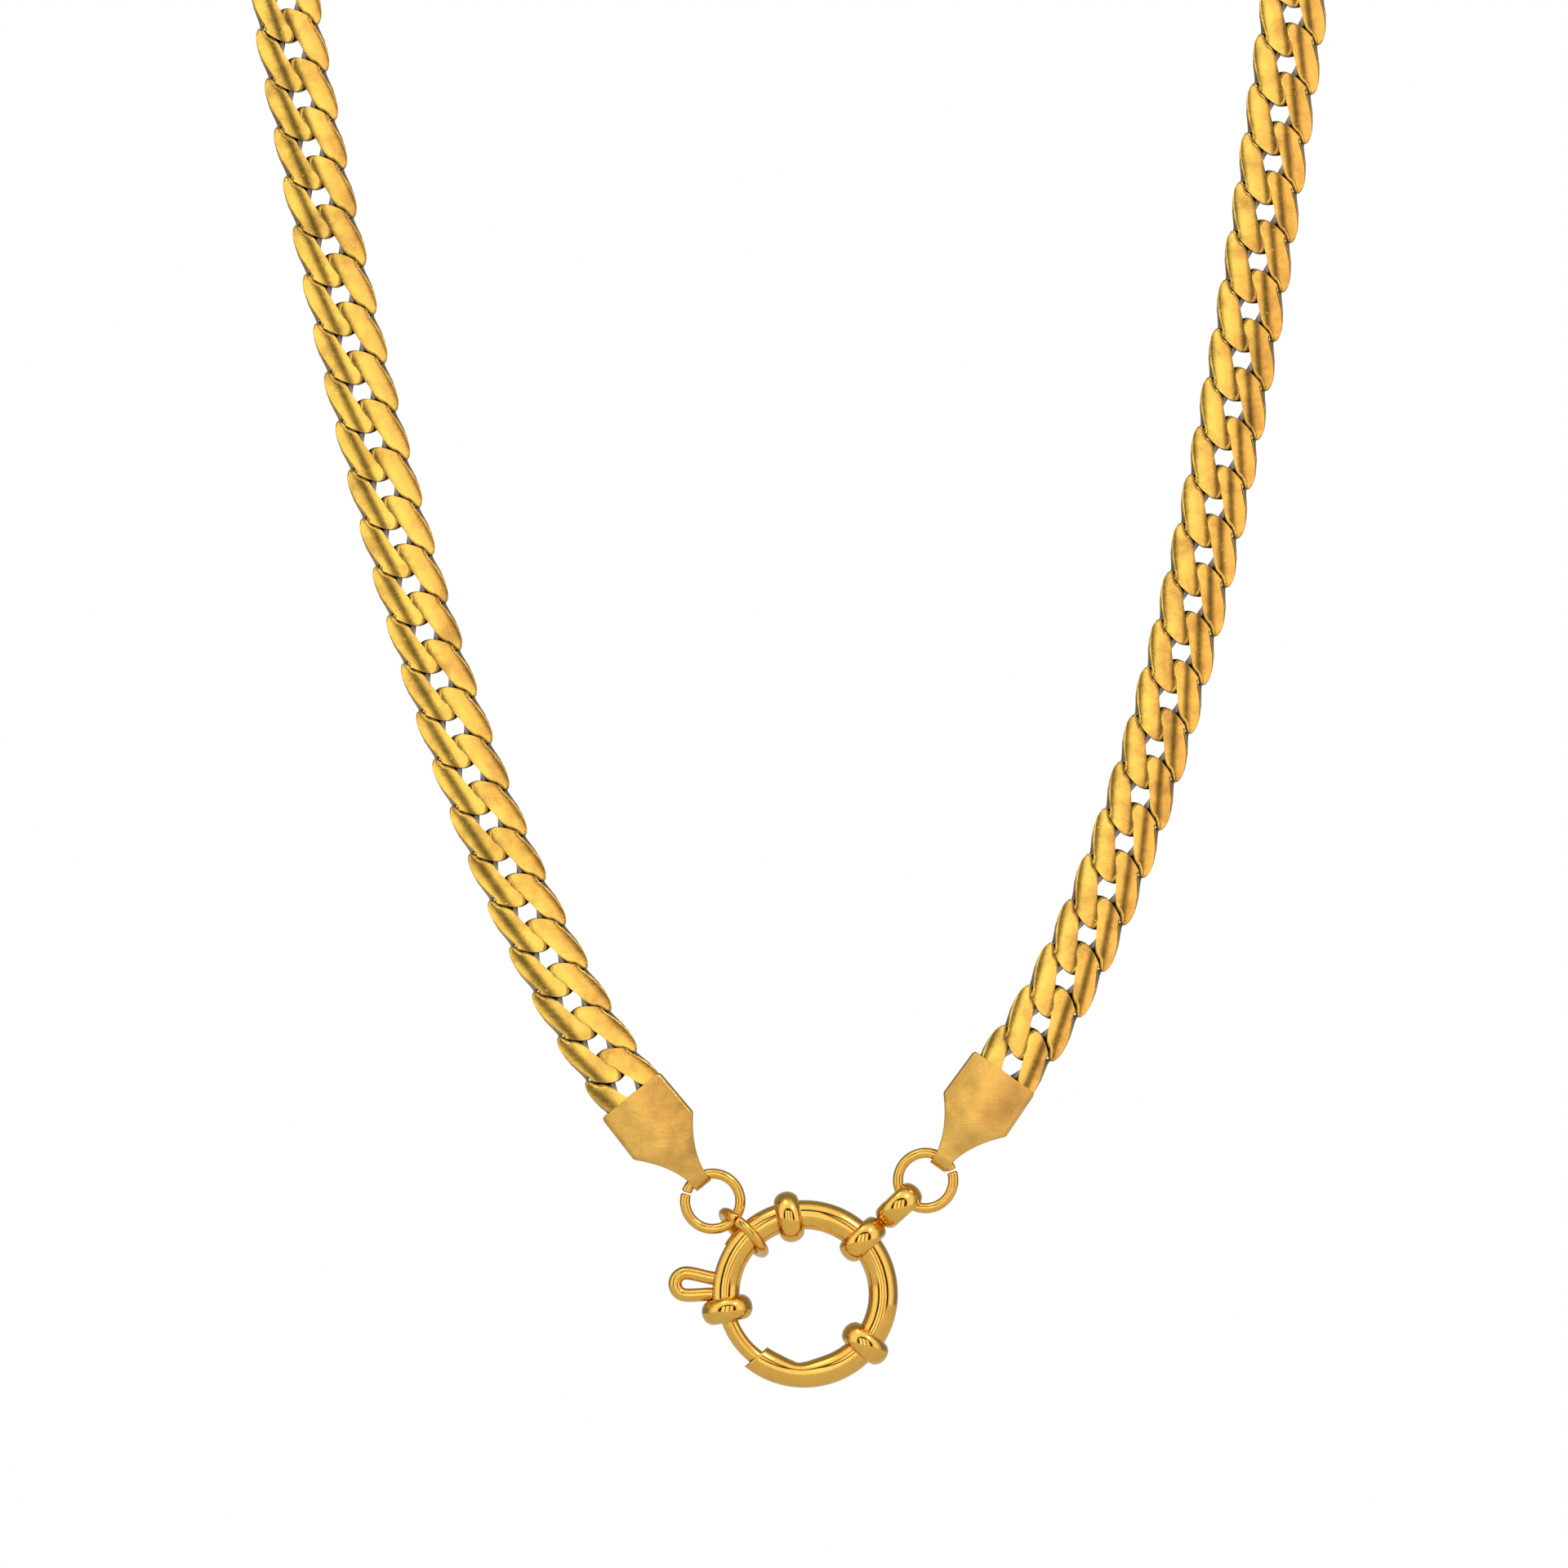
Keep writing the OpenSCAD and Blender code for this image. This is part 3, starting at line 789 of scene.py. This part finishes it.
def turned_ring(name, section, sides=72):
    """A ring turned about the y axis from a profile of (along y, out) points."""
    rows = []
    for k in range(sides):
        q = TURN * k / sides
        rows.append([(out * math.cos(q), along, out * math.sin(q)) for along, out in section])
    return grid_mesh(name, rows, loop_rows=True)


class NECKLACE_OT_double_link(bpy.types.Operator):
    """Make the link of two round eyes that joins the clasp to the right ring"""
    bl_idname = "necklace.make_double_link"
    bl_label = "Make Double Link"

    def execute(self, context):
        rings, clasp = context.scene.necklace_rings, context.scene.necklace_clasp
        outer, half = clasp.bead / 2, clasp.bead_width / 2
        inner = TUBE_R + EYE_FIT
        points = node_points("double_link") - np.array(CLASP_CENTRE)
        hang = rings.hang_right
        reach = points @ np.array([math.cos(hang), 0.0, math.sin(hang)])
        parts = []
        for centre in (reach.min() + outer, reach.max() - outer):
            eye = new_object("eye", turned_ring("eye", barrel_section(inner, outer, half)))
            eye.data.transform(Matrix.Translation((centre, 0, 0)))
            parts.append(eye)
        middle = (reach.min() + reach.max()) / 2
        neck_length, neck_r, neck_curve = 1.2 * MM, 0.42 * MM, 300.0
        neck_rows = []
        for k in range(13):
            x = (k / 12 - 0.5) * neck_length
            section = round_section(neck_r + neck_curve * x * x, 20)
            neck_rows.append([(middle + x, y, z) for y, z in section])
        parts.append(new_object("neck", grid_mesh("neck", neck_rows, close_ends=True)))
        piece = joined("double_eye_link", parts)
        stand(piece, hang)
        finish_piece(piece, "connectors", "ring_gold", polished_gold(), "double_link")
        return {"FINISHED"}


# ---- Clasp ----

def tube_rows(sizes, outer):
    """Sections of the tube's outer or inner wall from its mouth to its end."""
    steps, sides = 200, 48
    radius = TUBE_R if outer else TUBE_R - sizes.tube_wall
    start, stop = sizes.mouth, sizes.tube_end
    dent_at, dent_half = math.radians(-94), math.radians(12)
    pit_back, pit_half, pit_share = math.radians(1), math.radians(2.6), 0.35
    rows = []
    for i in range(steps + 1):
        row = []
        u = i / steps
        for k in range(sides):
            q = TURN * k / sides
            s, t = radius * math.cos(q), radius * math.sin(q)
            inward = max(0.0, -math.cos(q))
            slant = -sizes.mouth_slant * (s / TUBE_R)
            a = start + slant * (1 - u) ** 8 + (stop - start) * u
            away = (a - dent_at) / dent_half
            pit = (a - dent_at + pit_back) / pit_half
            s += sizes.dent * inward ** 1.5 * math.exp(-away * away)
            s += pit_share * sizes.dent * inward ** 24 * math.exp(-pit ** 4)
            row.append(((CLASP_R + s) * math.cos(a), (CLASP_R + s) * math.sin(a), t))
        rows.append(row)
    return rows


def tube_mesh(sizes):
    """The hollow tube: both walls, closed by a ring at each end."""
    outside, inside = tube_rows(sizes, True), tube_rows(sizes, False)
    return grid_mesh("tube", outside + list(reversed(inside)), loop_rows=True)


class NECKLACE_OT_tube(bpy.types.Operator):
    """Bend the clasp's tube, with its slanted mouth, its dent and the trigger's slot"""
    bl_idname = "necklace.make_clasp_tube"
    bl_label = "Make Clasp Tube"

    def execute(self, context):
        sizes = context.scene.necklace_clasp
        piece = new_object("clasp_ring_tube", tube_mesh(sizes))
        bolt = next(j for j in frame["joints"] if j["name"] == "bolt_pull")
        travel = math.radians(max(bolt["range_deg"]))
        slot_spare = 1.75 * MM
        half = math.asin(slot_spare / (CLASP_R + TUBE_R))
        slot_h = sizes.trigger_wire / 2 + BOLT_FIT
        slot_in, slot_out = 0.5 * TUBE_R, 1.5 * TUBE_R
        angles = np.linspace(sizes.trigger - travel - half, sizes.trigger + half, 24)
        section = [(slot_in, -slot_h), (slot_out, -slot_h), (slot_out, slot_h), (slot_in, slot_h)]
        mesh = grid_mesh("slot", bent_rows(CLASP_R, angles, lambda a: section), close_ends=True)
        slot = new_object("slot", mesh)
        cut = piece.modifiers.new("slot", "BOOLEAN")
        cut.operation = "DIFFERENCE"
        cut.solver = "EXACT"
        cut.object = slot
        apply_modifiers(piece)
        bpy.data.objects.remove(slot)
        stand(piece)
        finish_piece(piece, "clasp", "clasp_gold", polished_gold(), "clasp_tube")
        return {"FINISHED"}


class NECKLACE_OT_beads(bpy.types.Operator):
    """Turn the three beads that sit on the tube"""
    bl_idname = "necklace.make_beads"
    bl_label = "Make Beads"

    def execute(self, context):
        sizes = context.scene.necklace_clasp
        for name in ("bead_top", "bead_left", "bead_lower"):
            section = barrel_section(TUBE_R, sizes.bead / 2, sizes.bead_width / 2)
            piece = new_object("clasp_" + name, turned_ring(name, section))
            piece.data.transform(Matrix.Translation((CLASP_R - BEAD_INWARD, 0, 0)))
            stand(piece, getattr(sizes, name))
            finish_piece(piece, "clasp", "clasp_gold", polished_gold(), name)
        return {"FINISHED"}


class NECKLACE_OT_bolt(bpy.types.Operator):
    """Make the bolt that closes the ring and the bent wire trigger that moves it"""
    bl_idname = "necklace.make_bolt"
    bl_label = "Make Bolt and Trigger"

    def execute(self, context):
        sizes = context.scene.necklace_clasp
        tail_r = TUBE_R - sizes.tube_wall - BOLT_FIT
        into_mouth, into_tail = math.radians(3), 0.05
        tail_from = sizes.trigger - math.radians(9)
        tail_to = sizes.trigger + math.radians(13.4)
        nose_to = sizes.mouth + TURN + into_mouth
        nose = wire_arc("nose", CLASP_R, tail_to - into_tail, nose_to, sizes.bolt / 2, steps=40)
        tail = wire_arc("tail", CLASP_R, tail_from, tail_to, tail_r, steps=24)
        halves = [new_object("nose", nose), new_object("tail", tail)]
        piece = stand(joined("clasp_sliding_bolt", halves))
        finish_piece(piece, "bolt", "clasp_gold", polished_gold(), "clasp_bolt")
        trigger = new_object("clasp_trigger_loop", trigger_mesh(sizes))
        trigger.data.transform(Matrix.Rotation(sizes.trigger, 4, "Z") @ Matrix.Translation((CLASP_R, 0, 0)))
        stand(trigger)
        finish_piece(trigger, "bolt", "clasp_gold", polished_gold(), "bolt_trigger")
        return {"FINISHED"}


def trigger_mesh(sizes):
    """A drop-shaped loop of wire whose two legs go down through the slot."""
    wire_r = sizes.trigger_wire / 2
    tip = TUBE_R + sizes.trigger_out - wire_r
    base, foot_half, wide = 0.62 * TUBE_R, 0.76 * MM, 1.06 * MM
    bend = tip - wide
    path = []
    for k in range(15):
        u = k / 14
        path.append((base + (bend - base) * u, foot_half + (wide - foot_half) * eased(u)))
    for k in range(1, 24):
        q = math.pi / 2 - math.pi * k / 24
        path.append((bend + wide * math.cos(q), wide * math.sin(q)))
    path += [(x, -y) for x, y in reversed(path[:15])]
    rows = []
    for i, (x, y) in enumerate(path):
        x0, y0 = path[max(i - 1, 0)]
        x1, y1 = path[min(i + 1, len(path) - 1)]
        size = math.hypot(x1 - x0, y1 - y0)
        nx, ny = -(y1 - y0) / size, (x1 - x0) / size
        rows.append([(x + nx * s, y + ny * s, t) for s, t in round_section(wire_r, 24)])
    return grid_mesh("trigger", rows, close_ends=True)


class NECKLACE_OT_spring(bpy.types.Operator):
    """Give the spring and its stop, hidden in the tube, their metal"""
    bl_idname = "necklace.finish_spring"
    bl_label = "Finish Spring"

    def execute(self, context):
        for name in ("clasp_spring", "spring_stop"):
            mesh = frame["nodes"][name].data
            mesh.materials.clear()
            mesh.materials.append(spring_steel())
        return {"FINISHED"}


# ---- Stage ----

def studio_world():
    """White to the camera; in the metal, a bright room that is dark behind the camera."""
    world = bpy.data.worlds.new("studio")
    bpy.context.scene.world = world
    world.use_nodes = True
    n = Nodes(world.node_tree)
    ray = n.add("ShaderNodeTexCoord").outputs["Generated"]
    part = n.add("ShaderNodeSeparateXYZ", [("Vector", ray)])
    ramp = n.add("ShaderNodeValToRGB", [("Fac", n.ranged(part.outputs["Y"], -1.0, 1.0))])
    stops = ramp.color_ramp
    stops.interpolation = "EASE"
    while len(stops.elements) < len(ROOM_LIGHT):
        stops.elements.new(0.5)
    for element, (place, light) in zip(stops.elements, ROOM_LIGHT):
        element.position = place
        element.color = (light, light * 0.985, light * 0.95, 1)
    room = n.add("ShaderNodeBackground", [("Color", ramp.outputs["Color"])], Strength=1.0)
    white = n.add("ShaderNodeBackground", Color=(1, 1, 1, 1), Strength=1.0)
    seen = n.add("ShaderNodeLightPath")
    mix = n.add("ShaderNodeMixShader", [("Fac", seen.outputs["Is Camera Ray"])])
    n.join(room.outputs[0], mix.inputs[1])
    n.join(white.outputs[0], mix.inputs[2])
    n.add("ShaderNodeOutputWorld", [("Surface", mix.outputs[0])])


def soft_box(name, place, target, width, height, glow, tint):
    """A soft box aimed at the necklace, as bright as its glow and unseen by the camera."""
    lamp = bpy.data.lights.new(name, "AREA")
    lamp.shape = "RECTANGLE"
    lamp.size = width
    lamp.size_y = height
    lamp.energy = glow * math.pi * width * height
    lamp.color = tint
    light = bpy.data.objects.new(name, lamp)
    light.location = place
    light.rotation_euler = (Vector(target) - Vector(place)).to_track_quat("-Z", "Y").to_euler()
    light.visible_camera = False
    bpy.context.scene.collection.objects.link(light)


class NECKLACE_OT_stage(bpy.types.Operator):
    """Set the pale floor, the soft lights and the camera"""
    bl_idname = "necklace.set_stage"
    bl_label = "Set Stage"

    def execute(self, context):
        sizes = context.scene.necklace_stage
        half = sizes.floor_width / 2
        level = TUBE_LOW.z - sizes.floor_drop
        mesh = bpy.data.meshes.new("floor")
        corners = [(-half, -half, level), (half, -half, level), (half, half, level), (-half, half, level)]
        mesh.from_pydata(corners, [], [(0, 1, 2, 3)])
        floor = bpy.data.objects.new("floor", mesh)
        context.scene.collection.objects.link(floor)
        paint = bpy.data.materials.new("pale floor")
        paint.use_nodes = True
        n = Nodes(paint.node_tree)
        grain = n.add("ShaderNodeTexNoise", Scale=40.0)
        tint = n.add("ShaderNodeMix", [("Factor", grain.outputs[0])], data_type="RGBA")
        tint.inputs["A"].default_value = (0.86, 0.86, 0.85, 1)
        tint.inputs["B"].default_value = (0.9, 0.9, 0.89, 1)
        shader = n.add("ShaderNodeBsdfPrincipled", [("Base Color", tint.outputs["Result"])], Roughness=0.7)
        n.add("ShaderNodeOutputMaterial", [("Surface", shader.outputs[0])])
        mesh.materials.append(paint)
        studio_world()
        middle = (sizes.centre_x, 0, sizes.centre_z)
        for name, across, width, glow, tint in FRONT_BOXES:
            place, ahead = (across, -BOX_DISTANCE, sizes.centre_z), (across, 0, sizes.centre_z)
            soft_box(name, place, ahead, width, BOX_HEIGHT, glow, tint)
        soft_box("key", (0.42, -0.42, 0.4), middle, 0.16, 0.16, 12.0, (1.0, 0.97, 0.9))
        soft_box("top fill", (-0.2, -0.2, 0.55), middle, 0.3, 0.3, 1.0, (1.0, 1.0, 0.95))
        lens = bpy.data.cameras.new("camera")
        lens.sensor_width = 36.0
        lens.lens = lens.sensor_width * sizes.distance / sizes.field
        camera = bpy.data.objects.new("camera", lens)
        camera.location = (sizes.centre_x, -sizes.distance, sizes.centre_z)
        camera.rotation_euler = (math.pi / 2, 0, 0)
        context.scene.collection.objects.link(camera)
        context.scene.camera = camera
        context.scene.view_settings.view_transform = "Standard"
        return {"FINISHED"}


OPERATORS = (
    NECKLACE_OT_stage,
    NECKLACE_OT_chain,
    NECKLACE_OT_caps,
    NECKLACE_OT_rings,
    NECKLACE_OT_double_link,
    NECKLACE_OT_tube,
    NECKLACE_OT_beads,
    NECKLACE_OT_bolt,
    NECKLACE_OT_spring,
)


class NECKLACE_PT_panel(bpy.types.Panel):
    """Lists the necklace's pieces and sizes"""
    bl_idname = "NECKLACE_PT_panel"
    bl_label = "Necklace"
    bl_space_type = "VIEW_3D"
    bl_region_type = "UI"
    bl_category = "Necklace"

    def draw(self, context):
        for operator in OPERATORS:
            self.layout.operator(operator.bl_idname)
        for key, group in GROUPS.items():
            box = self.layout.box()
            for name in group.__annotations__:
                box.prop(getattr(context.scene, key), name)


def register():
    for cls in (*GROUPS.values(), *OPERATORS, NECKLACE_PT_panel):
        bpy.utils.register_class(cls)
    for key, group in GROUPS.items():
        setattr(bpy.types.Scene, key, PointerProperty(type=group))


def unregister():
    for key in GROUPS:
        delattr(bpy.types.Scene, key)
    for cls in reversed((*GROUPS.values(), *OPERATORS, NECKLACE_PT_panel)):
        bpy.utils.unregister_class(cls)


def main():
    register()
    for operator in OPERATORS:
        group, name = operator.bl_idname.split(".")
        getattr(getattr(bpy.ops, group), name)()


if __name__ == "__main__":
    main()
